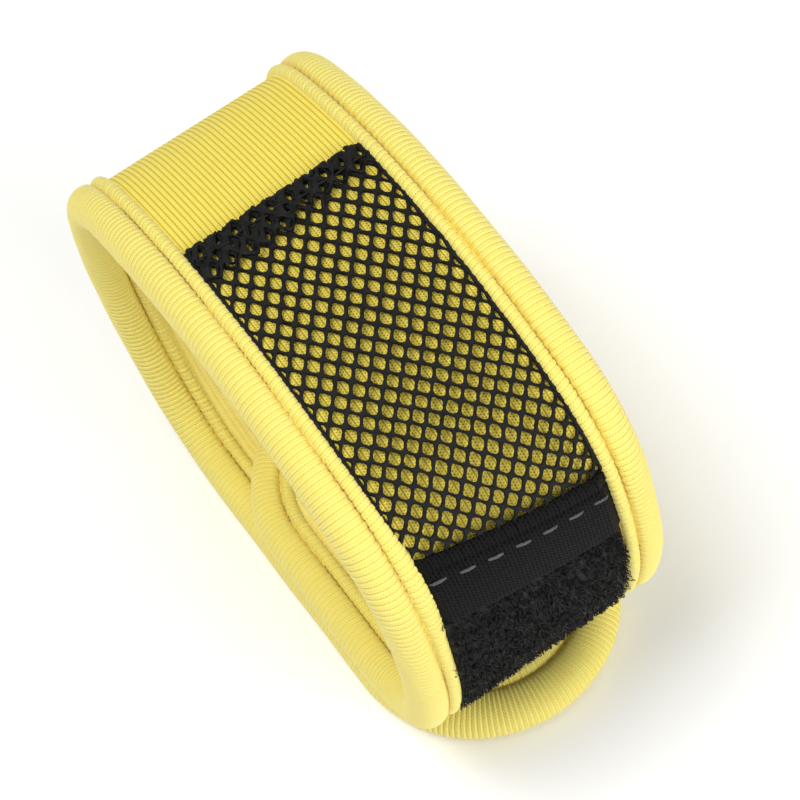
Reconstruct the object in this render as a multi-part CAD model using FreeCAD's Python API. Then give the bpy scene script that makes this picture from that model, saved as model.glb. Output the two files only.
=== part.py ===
import FreeCAD, Part
import math
import os
from FreeCAD import Vector

# Soft wrist band, closed in its worn oval: a foam-cored knit strap, bound round its edges,
# with a mesh pocket on the crown and a hook-and-loop closure under the wrist.
# +Z is up, +Y is along the forearm, +X runs across the wrist towards the pocket's mouth.
# The origin is on the resting plane, under the middle of the band. All sizes are in millimetres.

# ---- the strap's course, at mid-thickness -------------------------------------------------
half_span = 34.0  # middle of the band to its side
crown_height = 26.2  # widest line up to the crown
loop_end_drop = 22.5  # widest line down to the inner end
crown_radius = 60.0
shoulder_radius = 15.0
flank_radius = 40.0
loop_corner_radius = 14.0
strap_corner_radius = 16.0
tab_reach = 35.5  # middle of the band to the tab's tip
loop_end_reach = 17.0  # middle of the band to the inner end's tip, the other way

# ---- the laminate -------------------------------------------------------------------------
band_width = 34.0
face_thickness = 0.5
foam_thickness = 2.2
lining_thickness = 0.5

# ---- the bound edge -----------------------------------------------------------------------
roll_radius = 2.6  # half the thickness of the rolled edge
roll_width = 3.95  # from the seam to the edge of the band
bead_width = 1.55  # folded-under hem, inside the seam
bead_height = 0.85
seam_floor = 0.15  # height of the seam's floor above the face
seam_width = 0.4
tape_wall = 0.9  # binding tape and its turned edge, outside the laminate
thread_width = 0.22
thread_height = 0.25

# ---- the pocket ---------------------------------------------------------------------------
pocket_start = -9.7  # along the course from the crown's middle, + towards the mouth
pocket_length = 43.2
mesh_thickness = 0.5
mesh_lift = 0.3  # slack between the mesh and the face
hem_length = 4.6
hem_thickness = 0.5
hem_thread_width = 0.4
mouth_width = 8.8  # the elastic's own width
mouth_skew = 1.7  # how far each end of the elastic is off square
elastic_thickness = 1.3  # both leaves, stitched flat
mouth_lift = 0.3  # gap between the elastic and the face
mouth_stitch_count = 7
mouth_stitch_length = 2.3
mouth_stitch_width = 0.45
mouth_stitch_height = 0.2
mouth_stitch_line = 0.3  # where the stitches run, as a share of the elastic's width

# ---- the closure --------------------------------------------------------------------------
loop_thickness = 1.3
hook_thickness = 0.9
patch_margin = 0.15  # patch to bead, each side
closure_gap = 0.3  # between the hooks and the loops
tab_hinge_reach = 10.0  # middle of the band to the tab's bending line
hook_start_reach = 11.0  # middle of the band to the hook tape's far end, the other way

# ---- clearances ---------------------------------------------------------------------------
link_gap = 0.3  # between two links of the strap
part_gap = 0.3  # between the mouth and its neighbours
edge_gap = 0.1  # laminate's edge to the bottom of the binding's slot

# ---- worked out from the sizes above ------------------------------------------------------
half_sheet = (face_thickness + foam_thickness + lining_thickness) / 2
half_band = band_width / 2
slot_depth_y = half_band - tape_wall
sheet_half_width = slot_depth_y - edge_gap
seam_y = half_band - roll_width
bead_inner_y = seam_y - bead_width
patch_half_width = bead_inner_y - patch_margin
layer_pitch = 2 * half_sheet + loop_thickness + hook_thickness + closure_gap
strap_drop = loop_end_drop + layer_pitch
widest_z = strap_drop + roll_radius
strap_z = widest_z - strap_drop
loop_end_z = widest_z - loop_end_drop
tab_centre_x = tab_reach - half_band
loop_end_centre_x = half_band - loop_end_reach

os.makedirs("parts", exist_ok=True)


def save(name, shape):
    """Writes one named sub-part."""
    shape.exportStep("parts/" + name + ".step")


def point(x, z, y=0.0):
    return Vector(x, y, z)


# ---- the course: straight runs and tangent arcs, from the tab to the inner end --------------


class Arc:
    """A round stretch, run clockwise as the normal turns from one angle to a smaller one."""

    def __init__(self, centre, radius, start, end):
        self.centre = centre
        self.radius = radius
        self.start = start
        self.end = end
        self.length = radius * (start - end)

    def at(self, along, offset):
        angle = self.start - along / self.radius
        reach = self.radius + offset
        return (
            self.centre[0] + reach * math.cos(angle),
            self.centre[1] + reach * math.sin(angle),
        )

    def normal(self, along):
        angle = self.start - along / self.radius
        return (math.cos(angle), math.sin(angle))

    def edge(self, a, b, offset):
        ends = [point(*self.at(s, offset)) for s in (a, (a + b) / 2, b)]
        return Part.Arc(*ends).toShape()

    def sweep(self, section, a, b):
        """Turns a section, drawn at the stretch's start, from a to b about the arc's centre."""
        axis = point(*self.centre)
        placed = section.copy()
        placed.rotate(axis, Vector(0, 1, 0), math.degrees(a / self.radius))
        return placed.revolve(axis, Vector(0, 1, 0), math.degrees((b - a) / self.radius))


class Run:
    """A straight stretch along -X, with its outward normal down."""

    def __init__(self, start_x, end_x, z):
        self.start_x = start_x
        self.z = z
        self.length = start_x - end_x

    def at(self, along, offset):
        return (self.start_x - along, self.z - offset)

    def normal(self, along):
        return (0.0, -1.0)

    def edge(self, a, b, offset):
        return Part.LineSegment(point(*self.at(a, offset)), point(*self.at(b, offset))).toShape()

    def sweep(self, section, a, b):
        placed = section.copy()
        placed.translate(Vector(-a, 0, 0))
        return placed.extrude(Vector(a - b, 0, 0))


def meeting_centre(first, first_reach, second, second_reach, side):
    """The upper point at the given distances from two centres, on the given side in X."""
    dx, dz = second[0] - first[0], second[1] - first[1]
    gap = math.hypot(dx, dz)
    along = (first_reach**2 - second_reach**2 + gap**2) / (2 * gap)
    across = math.sqrt(first_reach**2 - along**2)
    found = [
        (
            first[0] + along * dx / gap - turn * across * dz / gap,
            first[1] + along * dz / gap + turn * across * dx / gap,
        )
        for turn in (-1, 1)
    ]
    return max(found, key=lambda p: side * p[0] + p[1])


def angle_from(centre, other):
    return math.atan2(other[1] - centre[1], other[0] - centre[0])


def make_course():
    """The whole strap as a list of stretches, with the crown's middle at zero along it."""
    crown = (0.0, widest_z + crown_height - crown_radius)
    right_flank = (half_span - flank_radius, widest_z)
    left_flank = (flank_radius - half_span, widest_z)
    shoulder = meeting_centre(
        crown,
        crown_radius - shoulder_radius,
        right_flank,
        flank_radius - shoulder_radius,
        1,
    )
    left_shoulder = (-shoulder[0], shoulder[1])

    loop_corner_z = loop_end_z + loop_corner_radius
    loop_reach = flank_radius - loop_corner_radius
    loop_corner = (
        right_flank[0] + math.sqrt(loop_reach**2 - (widest_z - loop_corner_z) ** 2),
        loop_corner_z,
    )
    strap_corner_z = strap_z + strap_corner_radius
    strap_reach = flank_radius - strap_corner_radius
    strap_corner = (
        left_flank[0] - math.sqrt(strap_reach**2 - (widest_z - strap_corner_z) ** 2),
        strap_corner_z,
    )

    full = 2 * math.pi
    left_bottom = angle_from(left_flank, strap_corner) % full
    crown_start = angle_from(crown, left_shoulder)
    left_top = math.pi - angle_from(right_flank, shoulder)
    stretches = [
        Run(tab_centre_x, strap_corner[0], strap_z),
        Arc(strap_corner, strap_corner_radius, 1.5 * math.pi, left_bottom),
        Arc(left_flank, flank_radius, left_bottom, left_top),
        Arc(left_shoulder, shoulder_radius, left_top, crown_start),
        Arc(crown, crown_radius, crown_start, math.pi - crown_start),
        Arc(shoulder, shoulder_radius, math.pi - crown_start, math.pi - left_top),
        Arc(right_flank, flank_radius, math.pi - left_top, angle_from(right_flank, loop_corner)),
        Arc(loop_corner, loop_corner_radius, angle_from(right_flank, loop_corner), -math.pi / 2),
        Run(loop_corner[0], loop_end_centre_x, loop_end_z),
    ]
    before_crown = sum(part.length for part in stretches[:4]) + stretches[4].length / 2
    placed = []
    here = -before_crown
    for part in stretches:
        placed.append((here, part))
        here += part.length
    return placed


course = make_course()
course_start = course[0][0]
course_end = course[-1][0] + course[-1][1].length


def stretch_middle(index):
    start, part = course[index]
    return start + part.length / 2


def at(s, offset=0.0):
    """The point at s along the course and at an offset outwards, as (x, z)."""
    for start, part in course:
        if s <= start + part.length:
            return part.at(s - start, offset)
    return course[-1][1].at(s - course[-1][0], offset)


def normal_at(s):
    for start, part in course:
        if s <= start + part.length:
            return part.normal(s - start)
    return course[-1][1].normal(s - course[-1][0])


def stretches_between(a, b):
    """The stretches from a to b, each with its own start and end."""
    found = []
    for start, part in course:
        low, high = max(a, start), min(b, start + part.length)
        if high - low > 1e-6:
            found.append((part, low - start, high - start))
    return found


def ribbon(a, b, low, high, y0, y1):
    """A layer of the strap from a to b along the course, between two offsets."""
    parts = stretches_between(a, b)
    outer = [part.edge(p, q, high) for part, p, q in parts]
    inner = [part.edge(p, q, low) for part, p, q in reversed(parts)]
    first = Part.LineSegment(point(*at_end(parts[0], 1, low)), point(*at_end(parts[0], 1, high)))
    last = Part.LineSegment(point(*at_end(parts[-1], 2, high)), point(*at_end(parts[-1], 2, low)))
    wire = Part.Wire(Part.__sortEdges__(outer + [last.toShape()] + inner + [first.toShape()]))
    face = Part.Face(wire)
    face.translate(Vector(0, y0, 0))
    return face.extrude(Vector(0, y1 - y0, 0))


def at_end(stretch, which, offset):
    return stretch[0].at(stretch[which], offset)


def joined(shapes):
    """One solid from pieces that meet face to face."""
    if len(shapes) == 1:
        return shapes[0]
    return shapes[0].multiFuse(shapes[1:]).removeSplitter()


# ---- the bound edge's section, across the strap (y) and outwards (n) -----------------------


def binding_outline():
    """Corner points and arcs of the binding's section on the +Y side, as edges in (y, n)."""
    bead_top = half_sheet + bead_height
    floor_n = half_sheet + seam_floor
    seam_in = seam_y - seam_width / 2
    seam_out = seam_y + seam_width / 2
    roll_centre = half_band - roll_radius
    bead_mid = (bead_inner_y + seam_in) / 2
    shoulder_y = (seam_out + roll_centre) / 2
    rise = (roll_radius - floor_n) * 0.7
    diagonal = roll_radius * math.sqrt(0.5)
    upper = [
        ("arc", (bead_inner_y, half_sheet), (bead_mid, bead_top), (seam_in, floor_n)),
        ("line", (seam_in, floor_n), (seam_out, floor_n)),
        (
            "arc",
            (seam_out, floor_n),
            (seam_out + (shoulder_y - seam_out) * 0.3, floor_n + rise),
            (shoulder_y, roll_radius),
        ),
        ("line", (shoulder_y, roll_radius), (roll_centre, roll_radius)),
        (
            "arc",
            (roll_centre, roll_radius),
            (roll_centre + diagonal, diagonal),
            (half_band, 0.0),
        ),
    ]
    lower = [(kind, *[(y, -n) for y, n in reversed(points)]) for kind, *points in reversed(upper)]
    slot = [
        ("line", (bead_inner_y, -half_sheet), (slot_depth_y, -half_sheet)),
        ("line", (slot_depth_y, -half_sheet), (slot_depth_y, half_sheet)),
        ("line", (slot_depth_y, half_sheet), (bead_inner_y, half_sheet)),
    ]
    return upper + lower + slot


def section_face(outline, origin, normal, side):
    """A section drawn at a point of the course, on the +Y or the -Y side."""

    def place(y, n):
        return Vector(origin[0] + normal[0] * n, side * y, origin[1] + normal[1] * n)

    edges = []
    for kind, *points in outline:
        ends = [place(*p) for p in points]
        if kind == "arc":
            edges.append(Part.Arc(*ends).toShape())
        else:
            edges.append(Part.LineSegment(*ends).toShape())
    return Part.Face(Part.Wire(Part.__sortEdges__(edges)))


def along_edge(outline, a, b, side):
    """A section run along the course from a to b."""
    pieces = []
    for part, p, q in stretches_between(a, b):
        section = section_face(outline, part.at(0, 0), part.normal(0), side)
        pieces.append(part.sweep(section, p, q))
    return pieces


def round_tip(outline, centre_x, z, way):
    """The same section turned half way round a tip, towards +X (way 1) or -X (way -1)."""
    section = section_face(outline, (centre_x, z), (0.0, -1.0), 1)
    return section.revolve(Vector(centre_x, 0, z), Vector(0, 0, 1), -180 * way)


def thread_outline(sign):
    low = half_sheet + seam_floor
    high = low + thread_height
    y0, y1 = seam_y - thread_width / 2, seam_y + thread_width / 2
    corners = [(y0, sign * low), (y1, sign * low), (y1, sign * high), (y0, sign * high)]
    return [("line", corners[i], corners[(i + 1) % 4]) for i in range(4)]


def half_disc(centre_x, z, radius, low, high, way):
    """The round end of a flat layer; offsets are outwards, so they run down."""
    disc = Part.makeCylinder(
        radius, high - low, Vector(centre_x, 0, z - high), Vector(0, 0, 1), 180
    )
    turn = -90 if way > 0 else 90
    disc.rotate(Vector(centre_x, 0, z), Vector(0, 0, 1), turn)
    return disc


# ---- the strap's links --------------------------------------------------------------------

trim = link_gap / 2
upper_bend = stretch_middle(3)
lower_bend = stretch_middle(1)
tab_bend = course_start + tab_centre_x - tab_hinge_reach

links = {
    "tab": (course_start, tab_bend - trim),
    "under": (tab_bend + trim, lower_bend - trim),
    "side": (lower_bend + trim, upper_bend - trim),
    "panel": (upper_bend + trim, course_end),
}
tips = {
    "tab": (tab_centre_x, strap_z, 1),
    "panel": (loop_end_centre_x, loop_end_z, -1),
}
face_low = half_sheet - face_thickness
lining_high = lining_thickness - half_sheet
layers = {
    "face_fabric": (face_low, half_sheet),
    "foam_core": (lining_high, face_low),
    "lining": (-half_sheet, lining_high),
}


def flat_layer(link, a, b, low, high, half_width):
    """A layer from a to b along the course, with the link's round end where it has one."""
    pieces = [ribbon(a, b, low, high, -half_width, half_width)]
    if link in tips:
        centre_x, z, way = tips[link]
        pieces.append(half_disc(centre_x, z, half_width, low, high, way))
    return joined(pieces)


def edge_rows(link, outline):
    """A section run along both edges of a link: one solid round a tip, otherwise one each side."""
    left, right = (along_edge(outline, *links[link], side) for side in (-1, 1))
    if link in tips:
        return [joined(left + [round_tip(outline, *tips[link])] + right)]
    return [joined(left), joined(right)]


def make_link(link):
    """The laminate, the binding and the binding's seam of one link of the strap."""
    for layer, (low, high) in layers.items():
        save(link + "_" + layer, flat_layer(link, *links[link], low, high, sheet_half_width))

    rows = edge_rows(link, binding_outline())
    if link in tips:
        save(link + "_binding", rows[0])
    else:
        save(link + "_binding_left", rows[0])
        save(link + "_binding_right", rows[1])

    seams = edge_rows(link, thread_outline(1)) + edge_rows(link, thread_outline(-1))
    save(link + "_seam_thread", Part.makeCompound(seams))


# ---- the pocket ---------------------------------------------------------------------------

mouth_top = pocket_start + pocket_length
mouth_bottom = mouth_top + mouth_width
spare = 2 * mouth_skew  # cut off again along the slanting lines


def slant_block(s, after):
    """A block on one side of the line across the strap at s, turned off square by the skew."""
    reach = 3 * band_width
    block = Part.makeBox(reach, reach, reach)
    block.translate(Vector(0 if after else -reach, -reach / 2, -reach / 2))
    block.rotate(Vector(), Vector(0, 0, 1), -math.degrees(math.atan2(mouth_skew, patch_half_width)))
    nx, nz = normal_at(s)
    block.rotate(Vector(), Vector(0, 1, 0), math.degrees(math.atan2(nx, nz)))
    block.translate(point(*at(s)))
    return block


def slanted_ribbon(a, b, low, high):
    """A layer between two slanting lines across the strap."""
    blank = ribbon(a - spare, b + spare, low, high, -patch_half_width, patch_half_width)
    return blank.cut([slant_block(a, False), slant_block(b, True)])


def make_pocket():
    low = half_sheet + mesh_lift
    high = low + mesh_thickness
    mesh_end = mouth_top - part_gap
    blank = ribbon(
        pocket_start, mesh_end + spare, low, high, -patch_half_width, patch_half_width
    )
    save("pocket_mesh", blank.cut(slant_block(mesh_end, True)))

    hem_top = high + hem_thickness
    hem_end = pocket_start + hem_length
    save(
        "pocket_hem",
        ribbon(pocket_start, hem_end, high, hem_top, -patch_half_width, patch_half_width),
    )
    thread_s = pocket_start + hem_length / 2 - hem_thread_width / 2
    thread_top = hem_top + thread_height
    reach = patch_half_width - hem_thread_width
    save(
        "pocket_hem_thread",
        ribbon(thread_s, thread_s + hem_thread_width, hem_top, thread_top, -reach, reach),
    )


def make_mouth():
    """Fold-over elastic, its two leaves stitched flat, and the row of stitches on top."""
    low = half_sheet + mouth_lift
    high = low + elastic_thickness
    save("mouth_elastic", slanted_ribbon(mouth_top, mouth_bottom, low, high))

    stitches = []
    pitch = 2 * patch_half_width / mouth_stitch_count
    for i in range(mouth_stitch_count):
        y = (i + 0.5) * pitch - patch_half_width
        s = mouth_top + mouth_stitch_line * mouth_width + mouth_skew * y / patch_half_width
        stitches.append(
            ribbon(
                s - mouth_stitch_width / 2,
                s + mouth_stitch_width / 2,
                high,
                high + mouth_stitch_height,
                y - mouth_stitch_length / 2,
                y + mouth_stitch_length / 2,
            )
        )
    save("mouth_stitches", Part.makeCompound(stitches))


# ---- the closure --------------------------------------------------------------------------


def make_loop_patch():
    start = mouth_bottom + part_gap
    patch = flat_layer(
        "panel", start - spare, course_end, half_sheet, half_sheet + loop_thickness, patch_half_width
    )
    save("loop_patch", patch.cut(slant_block(start, False)))


def make_hook_patches():
    """The hook tape on the inner face, in two lengths that meet at the tab's bending line."""
    tape_end = course_start + tab_centre_x + hook_start_reach
    spans = {"tab": links["tab"], "under": (links["under"][0], tape_end)}
    for link, (a, b) in spans.items():
        low = -half_sheet - hook_thickness
        save(link + "_hook_patch", flat_layer(link, a, b, low, -half_sheet, patch_half_width))


for link in links:
    make_link(link)
make_pocket()
make_mouth()
make_loop_patch()
make_hook_patches()
print("length of the strap", round(course_end - course_start + band_width, 2))
for name, s in (("strap_side", upper_bend), ("strap_under", lower_bend), ("tab_peel", tab_bend)):
    print(name, "hinge at", [round(v, 4) for v in at(s, roll_radius)])
print("mouth slides along", [round(v, 4) for v in normal_at((mouth_top + mouth_bottom) / 2)])
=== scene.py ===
import math

import bpy
import numpy as np
from mathutils import Matrix, Vector


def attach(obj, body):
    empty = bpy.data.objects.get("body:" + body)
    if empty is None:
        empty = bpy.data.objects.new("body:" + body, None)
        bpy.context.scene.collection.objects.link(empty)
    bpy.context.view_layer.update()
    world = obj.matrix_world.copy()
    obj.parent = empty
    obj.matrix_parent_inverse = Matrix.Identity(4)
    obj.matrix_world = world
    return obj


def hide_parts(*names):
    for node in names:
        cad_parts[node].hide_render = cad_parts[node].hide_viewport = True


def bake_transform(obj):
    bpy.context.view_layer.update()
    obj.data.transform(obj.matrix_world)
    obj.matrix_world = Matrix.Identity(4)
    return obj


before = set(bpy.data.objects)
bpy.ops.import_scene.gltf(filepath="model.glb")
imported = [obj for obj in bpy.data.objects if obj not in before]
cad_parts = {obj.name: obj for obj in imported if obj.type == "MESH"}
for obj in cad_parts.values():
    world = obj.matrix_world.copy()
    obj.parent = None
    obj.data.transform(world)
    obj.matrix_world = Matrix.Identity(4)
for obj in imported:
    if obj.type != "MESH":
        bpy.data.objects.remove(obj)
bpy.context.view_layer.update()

# the strap's course at mid-thickness, in metres, as it lies closed round a wrist
strap = {
    "halfSpan": 0.034, "crownHeight": 0.0262, "loopEndDrop": 0.0225, "strapDrop": 0.0282,
    "crownRadius": 0.060, "shoulderRadius": 0.015, "flankRadius": 0.040,
    "loopCornerRadius": 0.014, "strapCornerRadius": 0.016, "tabReach": 0.0355,
    "loopEndReach": 0.017, "tabHingeReach": 0.010, "halfWidth": 0.017,
    "halfSheet": 0.0016,  # half the thickness of face, foam and lining together
}
pocket = {"start": -0.0097, "length": 0.0432, "mouthWidth": 0.0088, "mouthSkew": 0.0017}
rollRadius = 0.0026
seamY = strap["halfWidth"] - 0.00395  # from the edge to the seam behind the roll
beadInnerY = seamY - 0.00155
widestZ = strap["strapDrop"] + rollRadius
strapZ = rollRadius
loopEndZ = widestZ - strap["loopEndDrop"]
tabCentre = strap["tabReach"] - strap["halfWidth"]
loopEndCentre = strap["halfWidth"] - strap["loopEndReach"]
patchHalfWidth = beadInnerY - 0.00015
mouthTop = pocket["start"] + pocket["length"]
mouthBottom = mouthTop + pocket["mouthWidth"]


# where a round stretch inside two others has its centre, on the upper right
def tangentCentre(a, reachA, b, reachB):
    gap = math.hypot(b[0] - a[0], b[1] - a[1])
    along = (reachA**2 - reachB**2 + gap**2) / (2 * gap)
    across = math.sqrt(reachA**2 - along**2)
    ux, uz = (b[0] - a[0]) / gap, (b[1] - a[1]) / gap
    foot = (a[0] + ux * along, a[1] + uz * along)
    return max([(foot[0] - k * uz * across, foot[1] + k * ux * across) for k in (-1, 1)], key=sum)


def angleFrom(a, b):
    return math.atan2(b[1] - a[1], b[0] - a[0])


# the course: straight runs and round stretches, from the strap's tip to the inner end
def makeCourse():
    crown = (0.0, widestZ + strap["crownHeight"] - strap["crownRadius"])
    rightFlank = (strap["halfSpan"] - strap["flankRadius"], widestZ)
    leftFlank = (-rightFlank[0], widestZ)
    inside = [strap[name] - strap["shoulderRadius"] for name in ("crownRadius", "flankRadius")]
    shoulder = tangentCentre(crown, inside[0], rightFlank, inside[1])
    corners = []
    for flank, z, radius, side in (
        (rightFlank, loopEndZ, strap["loopCornerRadius"], 1),
        (leftFlank, strapZ, strap["strapCornerRadius"], -1),
    ):
        rise = widestZ - z - radius
        reach = strap["flankRadius"] - radius
        corners.append((flank[0] + side * math.sqrt(reach**2 - rise**2), z + radius))
    loopCorner, strapCorner = corners
    crownSide = angleFrom(crown, shoulder)
    flankTop = angleFrom(rightFlank, shoulder)
    leftBottom = angleFrom(leftFlank, strapCorner) % (2 * math.pi)
    rightBottom = angleFrom(rightFlank, loopCorner)
    pi = math.pi
    arcs = [
        (strapCorner, strap["strapCornerRadius"], 1.5 * pi, leftBottom),
        (leftFlank, strap["flankRadius"], leftBottom, pi - flankTop),
        ((-shoulder[0], shoulder[1]), strap["shoulderRadius"], pi - flankTop, pi - crownSide),
        (crown, strap["crownRadius"], pi - crownSide, crownSide),
        (shoulder, strap["shoulderRadius"], crownSide, flankTop),
        (rightFlank, strap["flankRadius"], flankTop, rightBottom),
        (loopCorner, strap["loopCornerRadius"], rightBottom, -0.5 * pi),
    ]
    stretches = [{"x": tabCentre, "z": strapZ, "length": tabCentre - strapCorner[0]}]
    for centre, radius, start, end in arcs:
        length = radius * (start - end)
        stretches.append({"centre": centre, "radius": radius, "angle": start, "length": length})
    stretches.append({"x": loopCorner[0], "z": loopEndZ, "length": loopCorner[0] - loopEndCentre})
    beforeCrown = stretches[:4]
    here = -sum(part["length"] for part in beforeCrown) - stretches[len(beforeCrown)]["length"] / 2
    for part in stretches:
        part["start"] = here
        here += part["length"]
    return stretches, here


course, courseEnd = makeCourse()
courseStart = course[0]["start"]


# x, z and the outward direction at each s along the course; the end runs go on past their ends
def onCourse(s):
    s = np.asarray(s, float)
    place = np.zeros((4,) + s.shape)
    for i, part in enumerate(course):
        low = -np.inf if i == 0 else part["start"]
        high = np.inf if i == len(course) - 1 else part["start"] + part["length"]
        here = (s >= low) & (s < high)
        along = s[here] - part["start"]
        if "centre" in part:
            angle = part["angle"] - along / part["radius"]
            nx, nz = np.cos(angle), np.sin(angle)
            x = part["centre"][0] + part["radius"] * nx
            z = part["centre"][1] + part["radius"] * nz
        else:
            nx, nz = np.zeros_like(along), -np.ones_like(along)
            x, z = part["x"] - along, np.full_like(along, part["z"])
        place[:, here] = x, z, nx, nz
    return place


# the same at one place
def courseAt(s):
    return [float(value) for value in onCourse(np.array([s]))[:, 0]]


def middleOf(stretch):
    return stretch["start"] + stretch["length"] / 2


upperBend = middleOf(course[3])  # at the left shoulder
lowerBend = middleOf(course[1])  # at the corner under the wrist
tabBend = courseStart + tabCentre - strap["tabHingeReach"]
# where one visible piece of cloth hands over to the next, each in the middle of a rigid link
cuts = {"under": (tabBend + lowerBend) / 2, "side": (lowerBend + upperBend) / 2, "panel": -0.0145}
sides = ((-1, "Left"), (1, "Right"))
spans = {
    "tab": (courseStart, cuts["under"]), "under": (cuts["under"], cuts["side"]),
    "side": (cuts["side"], cuts["panel"]), "panel": (cuts["panel"], courseEnd),
}


# a link's span, run on past its round end by a layer's own half width
def layerSpan(link, halfWidth):
    low, high = spans[link]
    if link == "tab":
        low -= halfWidth
    if link == "panel":
        high += halfWidth
    return low, high


def points(piece):
    co = np.empty(len(piece.data.vertices) * 3)
    piece.data.vertices.foreach_get("co", co)
    return co.reshape(-1, 3)


def setPoints(piece, co):
    piece.data.vertices.foreach_set("co", np.ascontiguousarray(co, float).ravel())
    piece.data.update()


def pick(piece):
    bpy.ops.object.select_all(action="DESELECT")
    piece.select_set(True)
    bpy.context.view_layer.objects.active = piece


# opens a piece in edit mode, all of it selected
def openAll(piece):
    pick(piece)
    bpy.ops.object.mode_set(mode="EDIT")
    bpy.ops.mesh.select_all(action="SELECT")


def close():
    bpy.ops.object.mode_set(mode="OBJECT")


# keeps the flat place of every point as its UV, in metres
def markCloth(piece, flat):
    layer = piece.data.uv_layers.get("cloth") or piece.data.uv_layers.new(name="cloth")
    corner = np.empty(len(piece.data.loops), int)
    piece.data.loops.foreach_get("vertex_index", corner)
    layer.data.foreach_set("uv", flat[corner].ravel())


# cloth laid out flat: x runs along the strap, y across it
def layFlat(name, along, across, columns, rows):
    bpy.ops.object.select_all(action="DESELECT")
    bpy.ops.mesh.primitive_grid_add(x_subdivisions=columns, y_subdivisions=rows, size=1)
    piece = bpy.context.object
    piece.name = name
    piece.data.uv_layers.remove(piece.data.uv_layers[0])
    co = points(piece)
    co[:, 0] = along[0] + (co[:, 0] + 0.5) * (along[1] - along[0])
    co[:, 1] = across[0] + (co[:, 1] + 0.5) * (across[1] - across[0])
    setPoints(piece, co)
    markCloth(piece, co[:, :2])
    return piece


# bends a flat piece round the wrist
def wrap(piece):
    co = points(piece)
    x, z, nx, nz = onCourse(co[:, 0])
    setPoints(piece, np.stack([x + nx * co[:, 2], co[:, 1], z + nz * co[:, 2]], 1))
    pick(piece)
    bpy.ops.object.shade_smooth()


def turnOver(piece):
    openAll(piece)
    bpy.ops.mesh.flip_normals()
    close()


# merges a closed shape's doubles and turns its faces outwards
def seal(piece, reach):
    openAll(piece)
    bpy.ops.mesh.remove_doubles(threshold=reach)
    bpy.ops.mesh.normals_make_consistent(inside=False)
    close()


# a slow unevenness, the same every run; length is its usual wave in metres
def sway(at, length, seed):
    waves = np.random.RandomState(seed)
    total = np.zeros_like(at)
    for k in range(5):
        wave = length * waves.uniform(0.6, 1.8)
        total += np.sin(at * 2 * math.pi / wave + waves.uniform(0, 6.3))
    return total / 3


def ramp(value):
    return np.clip(value, 0, 1)


# a ramp that starts and stops gently
def ease(value):
    value = ramp(value)
    return value**2 * (3 - 2 * value)


# so many places across the patch, evenly apart
def evenly(count):
    return (np.arange(count) + 0.5) * 2 * patchHalfWidth / count - patchHalfWidth


def applyModifier(piece, kind, **values):
    pick(piece)
    modifier = piece.modifiers.new(kind.lower(), kind)
    for key, value in values.items():
        setattr(modifier, key, value)
    bpy.ops.object.modifier_apply(modifier=modifier.name)


# how far past the start of a round end each place is, or less than 0 before it
def pastEnd(link, s):
    return courseStart - s if link == "tab" else s - courseEnd


# deletes the faces whose middles are marked
def dropFaces(piece, marked):
    openAll(piece)
    bpy.ops.mesh.select_mode(type="FACE")
    bpy.ops.mesh.select_all(action="DESELECT")
    close()
    piece.data.polygons.foreach_set("select", marked)
    bpy.ops.object.mode_set(mode="EDIT")
    bpy.ops.mesh.delete(type="FACE")
    close()


def faceMiddles(piece):
    middle = np.empty(len(piece.data.polygons) * 3)
    piece.data.polygons.foreach_get("center", middle)
    return middle.reshape(-1, 3)


# deletes what lies outside a round end; deep is how far the end reaches, if not its half width
def trimRound(piece, link, half, deep=None):
    middle = faceMiddles(piece)
    past = pastEnd(link, middle[:, 0])
    dropFaces(piece, (past > 0) & (np.hypot(past / (deep or half), middle[:, 1] / half) > 1))


# a plain tube along a path, thinner towards its end, to be scattered
tube = {"beside": (0.0, 0.3, 0.95), "endShare": 0.6, "mergeShare": 0.05}


def tubeModel(path, radius, sideCount):
    path = np.asarray(path, float)
    last = len(path) - 1
    model = layFlat("tubeModel", (0, 1), (0, 1), last, sideCount)
    co = points(model)
    at = np.rint(co[:, 0] * last).astype(int)
    angle = co[:, 1] * 2 * math.pi
    ahead = np.gradient(path, axis=0)
    ahead /= np.linalg.norm(ahead, axis=1)[:, None]
    side = np.cross(ahead, tube["beside"])
    side /= np.linalg.norm(side, axis=1)[:, None]
    other = np.cross(side, ahead)
    thick = radius * np.linspace(1, tube["endShare"], len(path))[at][:, None]
    ring = np.cos(angle)[:, None] * side[at] + np.sin(angle)[:, None] * other[at]
    setPoints(model, path[at] + thick * ring)
    seal(model, radius * tube["mergeShare"])
    return model


def cutAlong(piece, place, normal, fill=False):
    openAll(piece)
    cut = {"use_fill": fill, "clear_outer": True, "threshold": 1e-7}
    bpy.ops.mesh.bisect(plane_co=place, plane_no=normal, **cut)
    close()


# a copy with its own mesh
def twin(piece, name):
    pick(piece)
    bpy.ops.object.duplicate()
    other = bpy.context.object
    other.name = name
    return other


# many copies of one small shape in one mesh: turns are 3 x 3 matrices, moves are places
def scatter(name, model, turns, moves):
    shape = points(model)
    faces = [list(face.vertices) for face in model.data.polygons]
    co = np.einsum("nij,kj->nki", turns, shape) + moves[:, None, :]
    everyFace = [[v + len(shape) * i for v in face] for i in range(len(moves)) for face in faces]
    mesh = bpy.data.meshes.new(name)
    mesh.from_pydata(co.reshape(-1, 3).tolist(), [], everyFace)
    bpy.data.objects.remove(model)
    piece = bpy.data.objects.new(name, mesh)
    bpy.context.collection.objects.link(piece)
    markCloth(piece, points(piece)[:, :2])
    return piece


# turns about the cloth's own upright axis
def spins(angles):
    c, s = np.cos(angles), np.sin(angles)
    zero, one = np.zeros_like(angles), np.ones_like(angles)
    return np.stack([c, -s, zero, s, c, zero, zero, zero, one], 1).reshape(-1, 3, 3)


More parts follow.
